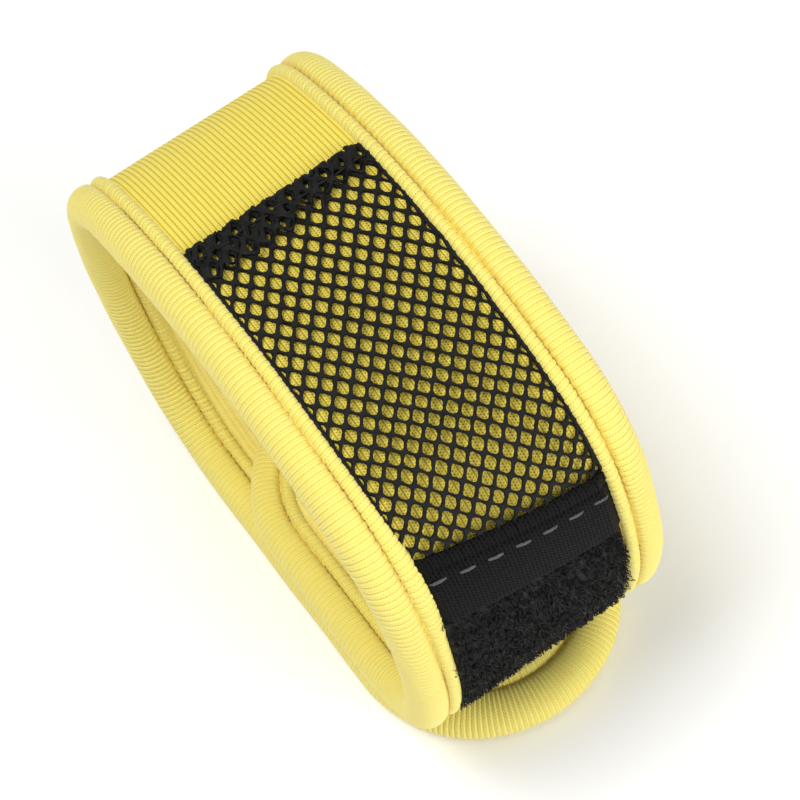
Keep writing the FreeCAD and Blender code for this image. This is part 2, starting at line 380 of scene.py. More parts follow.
# random turns with some stretch and lean, for fibres
def tangles(count, seed, tall, lean):
    random = np.random.RandomState(seed)
    turns = spins(random.uniform(0, 2 * math.pi, count))
    size = random.uniform(*tall, count)
    turns = turns * size[:, None, None]
    for axis in (0, 1):
        turns[:, axis, 2] += size * random.normal(0, lean, count)
    return turns


# one stitch: a plump thread with its ends turned down into the cloth
stitch = {"segments": 10, "ring_count": 6, "bluntness": 0.6, "dip": 4}


def stitchModel(thread):
    bpy.ops.object.select_all(action="DESELECT")
    rings = {name: stitch[name] for name in ("segments", "ring_count")}
    bpy.ops.mesh.primitive_uv_sphere_add(radius=0.5, rotation=(0, math.pi / 2, 0), **rings)
    model = bpy.context.object
    bpy.ops.object.transform_apply(location=False, rotation=True, scale=False)
    x, y, z = points(model).T
    along = np.sign(x) * np.abs(x * 2) ** stitch["bluntness"] / 2
    dipped = z * thread["thickness"] - thread["sink"] * (2 * along) ** stitch["dip"]
    setPoints(model, np.stack([along * thread["length"], y * thread["thickness"], dipped], 1))
    return model


# puts a finished piece of the panel on the panel's body; any other piece keeps its place, baked
# into its mesh
def hang(piece, link):
    if link == "panel":
        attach(piece, "panel")
        return
    bend = {"tab": tabBend, "under": lowerBend, "side": upperBend}[link]
    x, z, nx, nz = courseAt(bend)
    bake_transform(piece)


# a node group; an input with no value of its own is a place
def newGroup(name, inputs, outputs):
    group = bpy.data.node_groups.new(name, "ShaderNodeTree")
    for label, value in inputs.items():
        kind = "NodeSocketVector" if value is None else "NodeSocketFloat"
        socket = group.interface.new_socket(name=label, in_out="INPUT", socket_type=kind)
        if value is not None:
            socket.default_value = value
    for label in outputs:
        group.interface.new_socket(name=label, in_out="OUTPUT", socket_type="NodeSocketFloat")
    return group, group.nodes.new("NodeGroupInput"), group.nodes.new("NodeGroupOutput")


# one sum; each value is a number or another node's output
def calc(tree, kind, *values):
    node = tree.nodes.new("ShaderNodeMath")
    node.operation = kind
    for socket, value in zip(node.inputs, values):
        if isinstance(value, (int, float)):
            socket.default_value = value
        else:
            tree.links.new(value, socket)
    return node.outputs[0]


def setInputs(node, values):
    for label, value in values.items():
        node.inputs[label].default_value = value


ribShape = {"roundness": 0.7, "gapSharpness": 1.3, "gapDepth": 0.6, "mottle": 900, "detail": 3}


# ribs side by side along X with stitches every so often along Y, half a stitch over from rib to rib
def makeRibGroup():
    group, given, out = newGroup(
        "ribbedKnit",
        {"Cloth": None, "Rib pitch": 0.0005, "Stitch pitch": 0.0004, "Slant": 0.0, "Pairs": 0.0},
        ("Crease", "Stitch", "Height", "Mottle"),
    )
    given = given.outputs

    def step(kind, *values):
        return calc(group, kind, *values)

    split = group.nodes.new("ShaderNodeSeparateXYZ")
    group.links.new(given["Cloth"], split.inputs[0])
    rib = step("DIVIDE", split.outputs["X"], given["Rib pitch"])
    wave = step("ABSOLUTE", step("SINE", step("MULTIPLY", rib, math.pi)))
    ridge = step("POWER", wave, ribShape["roundness"])
    second = step("ABSOLUTE", step("COSINE", step("MULTIPLY", rib, math.pi / 2)))
    shallow = step("MULTIPLY", step("SUBTRACT", 1.0, second), given["Pairs"])
    crease = step("MULTIPLY", step("SUBTRACT", 1.0, ridge), step("SUBTRACT", 1.0, shallow))
    nearest = step("FLOOR", step("ADD", rib, 0.5))
    lean = step("ABSOLUTE", step("SUBTRACT", rib, nearest))
    row = step("DIVIDE", split.outputs["Y"], given["Stitch pitch"])
    shifted = step("ADD", row, step("MULTIPLY", nearest, 0.5))
    slanted = step("ADD", shifted, step("MULTIPLY", lean, given["Slant"]))
    loop = step("ABSOLUTE", step("SINE", step("MULTIPLY", slanted, math.pi)))
    gap = step("POWER", step("SUBTRACT", 1.0, loop), ribShape["gapSharpness"])
    sunk = step("MULTIPLY", gap, ribShape["gapDepth"])
    height = step("SUBTRACT", step("SUBTRACT", 1.0, crease), sunk)
    noise = group.nodes.new("ShaderNodeTexNoise")
    setInputs(noise, {"Scale": ribShape["mottle"], "Detail": ribShape["detail"]})
    group.links.new(given["Cloth"], noise.inputs["Vector"])
    results = {"Crease": crease, "Stitch": gap, "Height": height, "Mottle": noise.outputs["Fac"]}
    for label, value in results.items():
        group.links.new(value, out.inputs[label])
    return group


grainShape = {"detail": 4, "poreSharpness": 4.0, "roughSpread": 0.2}


# fine grain: soft mottling and pores in one group for foam, yarn and nylon
def makeGrainGroup():
    group, given, out = newGroup(
        "fineGrain",
        {"Place": None, "Grain": 3000.0, "Pores": 1500.0},
        ("Mottle", "Pore", "Height"),
    )
    given = given.outputs
    noise = group.nodes.new("ShaderNodeTexNoise")
    setInputs(noise, {"Detail": grainShape["detail"]})
    cells = group.nodes.new("ShaderNodeTexVoronoi")
    for node, scale in ((noise, "Grain"), (cells, "Pores")):
        group.links.new(given["Place"], node.inputs["Vector"])
        group.links.new(given[scale], node.inputs["Scale"])
    mottle = noise.outputs["Fac"]
    pore = calc(group, "SUBTRACT", 1.0, cells.outputs["Distance"])
    height = calc(group, "SUBTRACT", mottle, pore)
    for label, value in {"Mottle": mottle, "Pore": pore, "Height": height}.items():
        group.links.new(value, out.inputs[label])
    return group


ribGroup = makeRibGroup()
grainGroup = makeGrainGroup()


def mixColour(tree, mask, a, b):
    node = tree.nodes.new("ShaderNodeMix")
    node.data_type = "RGBA"
    tree.links.new(mask, node.inputs["Factor"])
    for socket, value in ((node.inputs["A"], a), (node.inputs["B"], b)):
        if isinstance(value, tuple):
            socket.default_value = (*value, 1)
        else:
            tree.links.new(value, socket)
    return node.outputs["Result"]


def newMaterial(name):
    material = bpy.data.materials.new(name)
    material.use_nodes = True
    return material, material.node_tree, material.node_tree.nodes["Principled BSDF"]


# a group in a material, with its own values
def placeGroup(tree, group, values):
    node = tree.nodes.new("ShaderNodeGroup")
    node.node_tree = group
    setInputs(node, values)
    return node


# how much of a mark that the mesh carries is at each point
def markOn(tree, name):
    node = tree.nodes.new("ShaderNodeAttribute")
    node.attribute_name = name
    return node.outputs["Fac"]


# the last links, which every material has
def finishMaterial(tree, shader, look, colour, height):
    tree.links.new(colour, shader.inputs["Base Color"])
    setInputs(shader, {"Sheen Weight": look["sheen"], "Specular IOR Level": look["specular"]})
    bump = tree.nodes.new("ShaderNodeBump")
    setInputs(bump, {"Strength": look["bump"], "Distance": 0.0001})
    tree.links.new(height, bump.inputs["Height"])
    tree.links.new(bump.outputs[0], shader.inputs["Normal"])


# a ribbed knit on the flat cloth; turn says which way its ribs lie
def knitMaterial(name, look):
    material, tree, shader = newMaterial(name)
    cloth = tree.nodes.new("ShaderNodeUVMap")
    cloth.uv_map = "cloth"
    turned = tree.nodes.new("ShaderNodeMapping")
    turned.inputs["Rotation"].default_value[2] = look["turn"]
    tree.links.new(cloth.outputs["UV"], turned.inputs["Vector"])

    def ribs(pitch, slant, pairs):
        values = {"Rib pitch": pitch, "Slant": slant, "Pairs": pairs}
        node = placeGroup(tree, ribGroup, {**values, "Stitch pitch": look["stitchPitch"]})
        tree.links.new(turned.outputs[0], node.inputs["Cloth"])
        return node.outputs

    knit = ribs(look["ribPitch"], look["slant"], look["pairs"])
    # the groove colour is painted shade, laid into the ribs' creases and their stitch gaps
    crease = calc(tree, "POWER", knit["Crease"], look["creaseSharpness"])
    dotted = calc(tree, "MULTIPLY_ADD", knit["Stitch"], look["stitchDepth"], look["creaseDepth"])
    spread = calc(tree, "MULTIPLY", knit["Stitch"], look["stitchSpread"])
    shade = calc(tree, "MINIMUM", calc(tree, "MULTIPLY_ADD", crease, dotted, spread), 1.0)
    plain = mixColour(tree, knit["Mottle"], look["colour"], look["paler"])
    colour = mixColour(tree, shade, plain, look["groove"])
    # dark dots in the stitch holes: painted shade, full from the pocket on
    if "stitchHoleShade" in look:
        close = ribs(look["ribPitch"] / 2, 0.0, 0.0)
        stitches = calc(tree, "POWER", close["Stitch"], look["dotSharpness"])
        creases = calc(tree, "POWER", close["Crease"], look["dotSharpness"])
        speck = calc(tree, "MULTIPLY", calc(tree, "MULTIPLY", stitches, creases), look["dotShare"])
        speck = calc(tree, "MINIMUM", speck, 1.0)
        speck = calc(tree, "MULTIPLY", speck, markOn(tree, "stitchHoleShadeShare"))
        colour = mixColour(tree, speck, colour, look["stitchHoleShade"])
    # the tape's groove darkened in its folds: painted shade
    if "foldShade" in look:
        colour = mixColour(tree, markOn(tree, "foldShadeShare"), colour, look["foldShade"])
    setInputs(shader, {"Roughness": look["roughness"], "Sheen Roughness": 0.5})
    finishMaterial(tree, shader, look, colour, knit["Height"])
    return material


# a plain stuff with fine grain; its pores, darkened towards the pit colour, are painted shade
def grainMaterial(name, look):
    material, tree, shader = newMaterial(name)
    place = tree.nodes.new("ShaderNodeTexCoord")
    node = placeGroup(tree, grainGroup, {"Grain": look["grain"], "Pores": look["pores"]})
    tree.links.new(place.outputs["Object"], node.inputs["Place"])
    grain = node.outputs
    plain = mixColour(tree, grain["Mottle"], look["colour"], look["paler"])
    # pores darkened towards the pit colour: painted shade
    pits = calc(tree, "POWER", grain["Pore"], grainShape["poreSharpness"])
    pits = calc(tree, "MULTIPLY", pits, look["poreDepth"])
    spread = grainShape["roughSpread"]
    rough = calc(tree, "MULTIPLY_ADD", grain["Mottle"], spread, look["roughness"] - spread / 2)
    tree.links.new(rough, shader.inputs["Roughness"])
    finishMaterial(tree, shader, look, mixColour(tree, pits, plain, look["pit"]), grain["Height"])
    return material


faceLook = {
    "turn": math.pi / 2, "ribPitch": 0.000615, "stitchPitch": 0.00035, "slant": 0.6, "pairs": 0.0,
    "creaseSharpness": 1.1, "creaseDepth": 0.55, "stitchDepth": 0.9, "stitchSpread": 0.06,
    # groove: painted shade in the creases and stitch gaps
    "colour": (0.90, 0.715, 0.080), "paler": (0.95, 0.80, 0.135), "groove": (0.40, 0.29, 0.010),
    # dots: painted shade in the stitch holes
    "stitchHoleShade": (0.22, 0.145, 0.004), "dotShare": 1.5, "dotSharpness": 0.8,
    "roughness": 0.8, "sheen": 0.12, "specular": 0.3, "bump": 0.8,
}
tapeLook = {
    "turn": 0.0, "ribPitch": 0.00035, "stitchPitch": 0.00033, "slant": 1.0, "pairs": 0.45,
    "creaseSharpness": 1.2, "creaseDepth": 0.55, "stitchDepth": 0.2, "stitchSpread": 0.22,
    # groove: painted shade in the creases and stitch gaps
    "colour": (0.87, 0.735, 0.145), "paler": (0.91, 0.80, 0.215), "groove": (0.58, 0.43, 0.035),
    # painted shade in the groove's folds
    "foldShade": (0.70, 0.46, 0.018),
    "roughness": 0.65, "sheen": 0.2, "specular": 0.35, "bump": 0.6,
}
liningLook = {
    "turn": math.pi / 2, "ribPitch": 0.0007, "stitchPitch": 0.0005, "slant": 0.2, "pairs": 0.0,
    "creaseSharpness": 1.2, "creaseDepth": 0.25, "stitchDepth": 0.15, "stitchSpread": 0.1,
    # groove: painted shade in the creases and stitch gaps
    "colour": (0.84, 0.70, 0.16), "paler": (0.90, 0.79, 0.26), "groove": (0.55, 0.41, 0.05),
    "roughness": 0.9, "sheen": 0.5, "specular": 0.2, "bump": 0.5,
}
elasticLook = {
    "turn": math.pi / 2, "ribPitch": 0.00045, "stitchPitch": 0.00042, "slant": 0.0, "pairs": 0.0,
    "creaseSharpness": 1.0, "creaseDepth": 0.3, "stitchDepth": 1.0, "stitchSpread": 0.3,
    "colour": (0.0045, 0.0045, 0.0045), "paler": (0.0100, 0.0100, 0.0095),
    # groove: painted shade in the creases and stitch gaps
    "groove": (0.0006, 0.0006, 0.0006),
    "roughness": 0.55, "sheen": 0.0, "specular": 0.06, "bump": 1.0,
}
faceKnit = knitMaterial("face knit", faceLook)
tapeKnit = knitMaterial("binding tape", tapeLook)
liningKnit = knitMaterial("brushed lining", liningLook)
elasticWeave = knitMaterial("woven elastic", elasticLook)

# pit: painted shade in the pores, for every stuff that uses this yarn
blackYarn = {
    "colour": (0.004, 0.004, 0.004), "paler": (0.013, 0.012, 0.011), "pit": (0.001, 0.001, 0.001),
}
foamStuff = grainMaterial("foam", {
    "grain": 900, "pores": 2600, "poreDepth": 0.7, "roughness": 0.9,
    "sheen": 0.0, "specular": 0.2, "bump": 0.6,
    # pit: painted shade in the pores
    "colour": (0.80, 0.76, 0.62), "paler": (0.88, 0.85, 0.74), "pit": (0.35, 0.30, 0.18),
})
netYarn = grainMaterial("net yarn", {
    "grain": 5200, "pores": 4200, "poreDepth": 0.5, "roughness": 0.6,
    "sheen": 0.0, "specular": 0.18, "bump": 0.7, **blackYarn,
})
pileYarn = grainMaterial("pile yarn", {
    "grain": 2600, "pores": 3800, "poreDepth": 0.5, "roughness": 0.5,
    "sheen": 0.0, "specular": 0.25, "bump": 0.5, **blackYarn,
})
hookNylon = grainMaterial("hook nylon", {
    "grain": 1800, "pores": 3000, "poreDepth": 0.2, "roughness": 0.4,
    "sheen": 0.0, "specular": 0.5, "bump": 0.2, **blackYarn,
})
greyThread = grainMaterial("grey thread", {
    "grain": 4200, "pores": 5200, "poreDepth": 0.6, "roughness": 0.4,
    "sheen": 0.1, "specular": 0.6, "bump": 0.9,
    # pit: painted shade in the pores
    "colour": (0.018, 0.019, 0.020), "paler": (0.072, 0.072, 0.072), "pit": (0.004, 0.004, 0.004),
})
yellowThread = grainMaterial("yellow thread", {
    "grain": 4200, "pores": 5200, "poreDepth": 0.4, "roughness": 0.5,
    "sheen": 0.1, "specular": 0.5, "bump": 0.9,
    # pit: painted shade in the pores
    "colour": (0.84, 0.64, 0.07), "paler": (0.90, 0.74, 0.14), "pit": (0.60, 0.43, 0.03),
})


# wraps a piece, gives it its stuff and hides the CAD nodes it stands for
def finish(piece, material, slotName, *nodes):
    wrap(piece)
    piece.data.materials.clear()
    piece.data.materials.append(material)
    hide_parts(*nodes)


# one layer of a link, flat, with its round end cut
def layStrip(name, link, half, rowPitch, columns):
    low, high = layerSpan(link, half)
    piece = layFlat(name, (low, high), (-half, half), round((high - low) / rowPitch), columns)
    trimRound(piece, link, half)
    return piece, high - low


# the face fabric: ribs along the band, with painted shade in its stitch holes, faint before the
# pocket and full from it on
faceCut = {
    "halfWidth": 0.0135, "ribHeight": 0.00003, "roundness": 0.7, "rowPitch": 0.0009,
    "fingersPerRib": 4, "stitchHoleShadeFrom": 0.003, "stitchHoleShadeOver": 0.004, "leastStitchHoleShade": 0.12,
}


def makeFace(link):
    ribs = 2 * round(faceCut["halfWidth"] / faceLook["ribPitch"])
    half = ribs * faceLook["ribPitch"] / 2
    columns = ribs * faceCut["fingersPerRib"]
    piece, length = layStrip(link + "FaceFabric", link, half, faceCut["rowPitch"], columns)
    co = points(piece)
    ridge = np.abs(np.sin(np.pi * co[:, 1] / faceLook["ribPitch"])) ** faceCut["roundness"]
    co[:, 2] = strap["halfSheet"] + faceCut["ribHeight"] * ridge
    setPoints(piece, co)
    # how much painted shade the stitch holes get: faint before the pocket, full from it on
    stitchHoleShadeShare = (co[:, 0] - pocket["start"] + faceCut["stitchHoleShadeFrom"]) / faceCut["stitchHoleShadeOver"]
    mark = piece.data.attributes.new("stitchHoleShadeShare", "FLOAT", "POINT")
    mark.data.foreach_set("value", np.clip(stitchHoleShadeShare, faceCut["leastStitchHoleShade"], 1))
    finish(piece, faceKnit, "face_fabric", link + "_face_fabric")
    hang(piece, link)


for link in spans:
    makeFace(link)
print("face fabric laid")

# the lining against the skin, and the foam between
liningCut = {"halfWidth": 0.0135, "grain": 0.0008, "lean": 0.00004, "waves": (0.012, 0.009)}
foamCut = {"halfWidth": 0.0155, "top": 0.00108, "thickness": 0.0021, "grain": 0.0012}


def makeLining(link):
    half, grain = liningCut["halfWidth"], liningCut["grain"]
    piece, length = layStrip(link + "Lining", link, half, grain, round(2 * half / grain))
    co = points(piece)
    along, across = liningCut["waves"]
    uneven = sway(co[:, 0], along, 3) * sway(co[:, 1], across, 4)
    co[:, 2] = -strap["halfSheet"] - liningCut["lean"] * (1 + uneven)
    setPoints(piece, co)
    turnOver(piece)
    finish(piece, liningKnit, "lining", link + "_lining")
    hang(piece, link)


def makeFoam(link):
    half, grain = foamCut["halfWidth"], foamCut["grain"]
    piece, length = layStrip(link + "Foam", link, half, grain, round(2 * half / grain))
    co = points(piece)
    co[:, 2] = foamCut["top"]
    setPoints(piece, co)
    applyModifier(piece, "SOLIDIFY", thickness=foamCut["thickness"], offset=-1.0)
    finish(piece, foamStuff, "foam_core", link + "_foam_core")
    hang(piece, link)


for link in spans:
    makeLining(link)
    makeFoam(link)
print("lining and foam laid")

# the binding: tape rolled over the edge, with its hem tucked inside the seam
binding = {
    "ribHeight": 0.00007, "ridgeSharpness": 0.6, "pairDip": 0.5, "pairSharpness": 14,
    "fingersPerRib": 6, "beadCentre": (beadInnerY + seamY) / 2, "beadHalfWidth": 0.00082,
    "beadHeight": 0.00100, "beadFoot": 0.00148,
    "beadSlant": -0.0002,  # to a millimetre across the bead
    "beadRib": -0.00002, "grooveHeight": 0.00185, "rollCentre": strap["halfWidth"] - 0.00250,
    "rollHalfWidth": 0.00250,
    "rollSink": 0.0001,  # of the roll's first point, down into the groove
    "pullPitch": 0.00115,  # where each stitch of the seam draws the tape in
    "pullDepth": 0.00011, "pullSharpness": 3, "beadPull": 0.6, "foldLength": 0.0013,
    "folds": (0.55, 0.25, 0.3),  # painted shade in the groove's folds: all over, in waves, at each pull
    "mostFoldShade": 0.9, "unevenness": 0.00006, "unevenLength": 0.02, "evenEnds": 0.004,
    "tabTipSpread": 0.32, "mouthBeadSpread": 0.0008, "mouthSpreadAt": 0.002,
    "mouthSpreadReach": 0.007, "mouthSpreadDepth": 0.0013,
}


# the tape's section from the outer hem round the edge to the inner hem:
# y, height, share of the bead, share of the groove
def tapeSection():
    bead = []
    for angle in np.radians(np.linspace(180, 15, 9)):
        y = binding["beadCentre"] + binding["beadHalfWidth"] * math.cos(angle)
        bead.append((y, binding["beadFoot"] + binding["beadHeight"] * math.sin(angle), 1.0, 0.0))
    groove = [(seamY, binding["grooveHeight"], 0.5, 1.0)]
    roll = []
    for angle in np.radians(np.linspace(118, 0, 15)):
        y = binding["rollCentre"] + binding["rollHalfWidth"] * math.cos(angle)
        roll.append((y, rollRadius * math.sin(angle), 0.0, 0.0))
    roll[0] = (roll[0][0], roll[0][1] - binding["rollSink"], 0.0, 0.6)
    outer = bead + groove + roll
    inner = [(y, -n, b, g) for y, n, b, g in reversed(outer[:-1])]
    return np.array(outer + inner)


# which way the section faces at each of its points
def sectionNormals():
    d = np.gradient(section[:, :2], axis=0)
    size = np.hypot(d[:, 0], d[:, 1])
    return -d[:, 1] / size, d[:, 0] / size


section = tapeSection()
tapeAcross = np.concatenate([[0], np.cumsum(np.hypot(*np.diff(section[:, :2], axis=0).T))])


# the tape from e = 0 to its length; route gives the middle line and the outward direction at e
def makeTape(name, length, route, slantWay, seed, spread=None):
    pair = 2 * tapeLook["ribPitch"]
    ribs = round(length / pair)
    pitch = length / ribs
    last = len(section) - 1
    piece = layFlat(name, (0, length), (0, 1), ribs * binding["fingersPerRib"], last)
    co = points(piece)
    e, across = co[:, 0].copy(), co[:, 1] * last
    order = np.arange(last + 1)
    y, n, bead, groove = (np.interp(across, order, column) for column in section.T)
    normalY, normalN = (np.interp(across, order, column) for column in sectionNormals())
    markCloth(piece, np.stack([e * pair / pitch, np.interp(across, order, tapeAcross)], 1))
    ridge = np.abs(np.sin(np.pi * e / pitch)) ** binding["ridgeSharpness"] * 2 - 1
    dip = np.abs(np.cos(np.pi * e / pitch + np.pi / 2)) ** binding["pairSharpness"]
    ridge = ridge - binding["pairDip"] * dip
    swell = (binding["ribHeight"] + binding["beadRib"] * bead) * (1 - groove) * ridge
    calm = ramp(np.minimum(e, length - e) / binding["evenEnds"])
    swell = swell + calm * sway(e, binding["unevenLength"], seed) * binding["unevenness"]
    pullPitch = length / round(length / binding["pullPitch"])
    pull = np.abs(np.cos(np.pi * e / pullPitch)) ** binding["pullSharpness"] * binding["pullDepth"]
    # how much painted shade the groove's folds get: all over, in waves and at each pull
    everywhere, inWaves, atPulls = binding["folds"]
    folds = everywhere + inWaves * sway(e, binding["foldLength"], seed + 5)
    folds = groove * (folds + atPulls * pull / binding["pullDepth"])
    foldShadeShare = piece.data.attributes.new("foldShadeShare", "FLOAT", "POINT")
    foldShadeShare.data.foreach_set("value", np.clip(folds, 0, binding["mostFoldShade"]))
    swell = swell + pull * (bead * binding["beadPull"] - groove)
    y = y + normalY * swell
    n = n + normalN * swell
    e = e + slantWay * bead * binding["beadSlant"] * (y - seamY) / 0.001
    if spread is not None:
        y = strap["halfWidth"] - (strap["halfWidth"] - y) * spread(e)
    s, baseY, outS, outY = route(e)
    away = (s - mouthTop - binding["mouthSpreadAt"]) / binding["mouthSpreadReach"]
    nearMouth = np.exp(-(away**2)) * (outY < -0.5)
    inner = ramp((seamY - y) / binding["mouthSpreadDepth"]) * (n > 0)
    y = y - binding["mouthBeadSpread"] * nearMouth * inner
    setPoints(piece, np.stack([s + outS * y, baseY + outY * y, n], 1))
    return piece


def sideRoute(start, side):
    def route(e):
        zero = np.zeros_like(e)
        return start + e, zero, zero, zero + side

    return route


# down one side, round the tip and back; way is -1 for the tab and 1 for the inner end
# with its length, and for the tab how much wider the roll is round its tip
def tipRoute(start, tip, way):
    run = abs(tip - start)
    arc = math.pi * strap["halfWidth"]

    def turnAt(e):
        return np.clip((e - run) / strap["halfWidth"], 0, math.pi)

    def route(e):
        turn = turnAt(e)
        back = np.maximum(e - run - arc, 0)
        s = start + way * (np.minimum(e, run) - back)
        return s, np.zeros_like(e), way * np.sin(turn), -np.cos(turn)

    def spread(e):
        return 1 + binding["tabTipSpread"] * np.sin(turnAt(e)) ** 0.8

    return route, 2 * run + arc, spread if way < 0 else None


loopRunStart = course[-1]["start"]


def layTape(name, link, node, way, seed, route, length, spread):
    piece = makeTape(name, length, route, way, seed, spread)
    if way > 0:
        turnOver(piece)
    finish(piece, tapeKnit, "binding", node)
    hang(piece, link)


# the edges along a link, one each side, and those round the two tips
def sideEdges(link):
    low, high = spans[link]
    length = min(high, loopRunStart) - low
    return [(sideRoute(low, side), length, None) for side, word in sides]


tipEdges = {
    "tab": tipRoute(spans["tab"][1], courseStart, -1),
    "panel": tipRoute(loopRunStart, courseEnd, 1),
}

for link in ("under", "side", "panel"):
    for edge, (side, word) in zip(sideEdges(link), sides):
        node = "panel_binding" if link == "panel" else f"{link}_binding_{word.lower()}"
        layTape(link + word + "Binding", link, node, side, 11 + side, *edge)
for link, way in (("tab", 1), ("panel", -1)):
    layTape(link + "TipBinding", link, link + "_binding", way, 31, *tipEdges[link])
print("binding rolled")

# the stitches down in the groove, on both faces
seamStitch = {
    "length": 0.0017, "thickness": 0.00024, "sink": 0.00025, "height": 0.00178, "pitch": 0.0023,
}


def makeSeamThread(link):
    edges = [] if link == "tab" else sideEdges(link)
    if link in tipEdges:
        edges.append(tipEdges[link])
    moves, turns = [], []
    for route, length, spread in edges:
        count = round(length / seamStitch["pitch"])
        e = (np.arange(count) + 0.5) * length / count
        s, baseY, outS, outY = route(e)
        y = np.full(count, seamY)
        if spread is not None:
            y = strap["halfWidth"] - (strap["halfWidth"] - y) * spread(e)
        turn = spins(np.arctan2(-outS, outY))
        for face in (-1, 1):
            height = np.full(count, face * seamStitch["height"])
            moves.append(np.stack([s + outS * y, baseY + outY * y, height], 1))
            turns.append(turn * np.array([1, 1, face])[None, None, :])
    turns, moves = np.concatenate(turns), np.concatenate(moves)
    piece = scatter(link + "SeamThread", stitchModel(seamStitch), turns, moves)
    openAll(piece)
    bpy.ops.mesh.normals_make_consistent(inside=False)
    close()
    finish(piece, yellowThread, "seam_thread", link + "_seam_thread")
    hang(piece, link)


for link in spans:
    makeSeamThread(link)
print("seams stitched")

# the net pocket: a square mesh on the slant, its knots drawn closer towards the mouth
net = {
    "first": -12, "count": 34,
    "diagonal": 0.00272,  # of a hole, along the strap, at the crown
    "closing": 0.0258,  # how much shorter each next one is
    "acrossDiagonal": 0.00230,
    "side": 0.00165,  # of a hole; from inset to jitter the values are in such sides
    "inset": 0.116, "longThread": 0.212, "shortThread": 0.155, "depth": 0.24, "relief": 0.035,
    "knobbly": 0.017, "jitter": 0.013,
    "endShare": 0.62,  # of a thread's width, where a hole comes to its two ends
    "flankShare": 1.5, "rise": 0.0020, "bulge": 0.0011, "bulgeHalf": 0.0115,
    "tuck": 0.00028,  # at the sides, down under the binding's bead
    "tuckFrom": 0.0098, "tuckOver": 0.0014, "reach": 0.0120,
    "spareEnd": 0.0012,  # kept until the ends and sides are cut straight
    "spareSide": 0.0008, "underHem": 0.0004, "underElastic": 0.0012, "riseLength": 0.020,
}
hem = {
    "width": 0.0046, "free": 0.0003, "skew": -0.0006, "thicker": 1.5, "jitter": 0.085,
    "shift": 0.27,  # of a hole, from one layer to the next
    "step": 0.00026, "foldOver": 0.0010, "foldHeight": 0.4, "tuckOver": 0.0016,
    "tuckShare": 0.6, "unevenness": 0.00008, "unevenLength": 0.003,
}


# how far the pocket stands off the band
def pocketRise(s, y):
    towardsMouth = np.clip((s - pocket["start"]) / pocket["length"], 0, 1.1)
    across = ramp(1 - (y / net["bulgeHalf"]) ** 2)
    tucked = ease((np.abs(y) - net["tuckFrom"]) / net["tuckOver"])
    return net["rise"] + net["bulge"] * towardsMouth**1.5 * across - net["tuck"] * tucked


# the mouth runs a little slantwise over the band
def mouthLine(y, s):
    return s + pocket["mouthSkew"] * y / patchHalfWidth


# where a knot of the net lies on the flat cloth, from its two counts
def netPlace(i, j):
    u, v = (i + j) / 2, (i - j) / 2
    s = net["diagonal"] / net["closing"] * (1 - np.exp(-net["closing"] * u))
    return s, v * net["acrossDiagonal"]


# one layer of net, flat: a chequer of knots, turned half a right angle, with a hole in every face
def makeNetLayer(name, low, high, skew, jitter, seed, shift=0.0, thicker=1.0):
    first, last = net["first"], net["first"] + net["count"]
    piece = layFlat(name, (first, last), (first, last), net["count"], net["count"])
    i, j = faceMiddles(piece)[:, :2].T
    s, y = netPlace(i + shift, j - shift / 2)
    outside = (s < low - net["spareEnd"]) | (s > high + skew * y / patchHalfWidth)
    dropFaces(piece, outside | (np.abs(y) > net["reach"] + net["spareSide"]))
    openAll(piece)
    bpy.ops.mesh.inset(thickness=net["inset"], use_individual=True, use_even_offset=True)
    bpy.ops.mesh.delete(type="FACE")
    close()
    # the holes' corners go where the threads' widths say
    co = points(piece)
    parts = co[:, :2] - np.floor(co[:, :2] + 1e-4)
    atEnds = (parts[:, 0] < 0.5) == (parts[:, 1] < 0.5)
    share = np.where(atEnds, net["endShare"], net["flankShare"]) * thicker / 2
    for axis, thread in enumerate((net["longThread"], net["shortThread"])):
        part = parts[:, axis]
        inHole = (part > 0.02) & (part < 0.98)
        moved = np.where(part < 0.5, thread * share, 1 - thread * share)
        co[inHole, axis] += (moved - part)[inHole]
    co[:, :2] += np.random.RandomState(seed).normal(0, 1, (len(co), 2)) * jitter
    setPoints(piece, co)
    openAll(piece)
    bpy.ops.mesh.subdivide(number_cuts=1)
    close()
    applyModifier(piece, "SOLIDIFY", thickness=net["depth"] / thicker**0.5, offset=0.0)
    applyModifier(piece, "SUBSURF", levels=1, render_levels=1)
    co = points(piece)
    co += np.random.RandomState(seed + 90).normal(0, net["knobbly"] * thicker**1.5, co.shape)
    i, j, n = co.T
    weave = np.cos(2 * np.pi * i) - np.cos(2 * np.pi * j)
    s, y = netPlace(i + shift, j - shift / 2)
    setPoints(piece, np.stack([s, y, (n + net["relief"] * weave) * net["side"]], 1))
    for side in (-1, 1):
        cutAlong(piece, (0, side * net["reach"], 0), (0, side, 0), fill=True)
    cutAlong(piece, (low, 0, 0), (-1, 0, 0), fill=True)
    return piece


# cuts a piece into two halves across the mouth, finishes each and bakes its place into its mesh
def hangHalves(piece, name, finishHalf, wayOf, fill=False):
    for side, word in sides:
        half = twin(piece, name + word)
        cutAlong(half, (0, 0, 0), (0, -side, 0), fill)
        finishHalf(half)
        start, end = wayOf(side)
        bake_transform(half)
    bpy.data.objects.remove(piece)


# straight across, from the bead to the middle
def acrossWay(side):
    x, z, nx, nz = courseAt((mouthTop + mouthBottom) / 2)
    return (x, side * patchHalfWidth, z), (x, 0, z)


# slantwise, from a point off the mouth to its middle
def netWay(side):
    x, z, nx, nz = courseAt(mouthTop)
    half, length = patchHalfWidth, net["riseLength"]
    skewed = pocket["mouthSkew"] / (half * length)
    slope = np.array([nz, 0, -nx]) / length + np.array([0, -side / half - skewed, 0])
    middle = np.array([x, 0, z])
    return tuple(middle - slope / (slope @ slope)), tuple(middle)


def finishHem(piece):
    finish(piece, netYarn, "net", "pocket_hem")
    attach(piece, "panel")


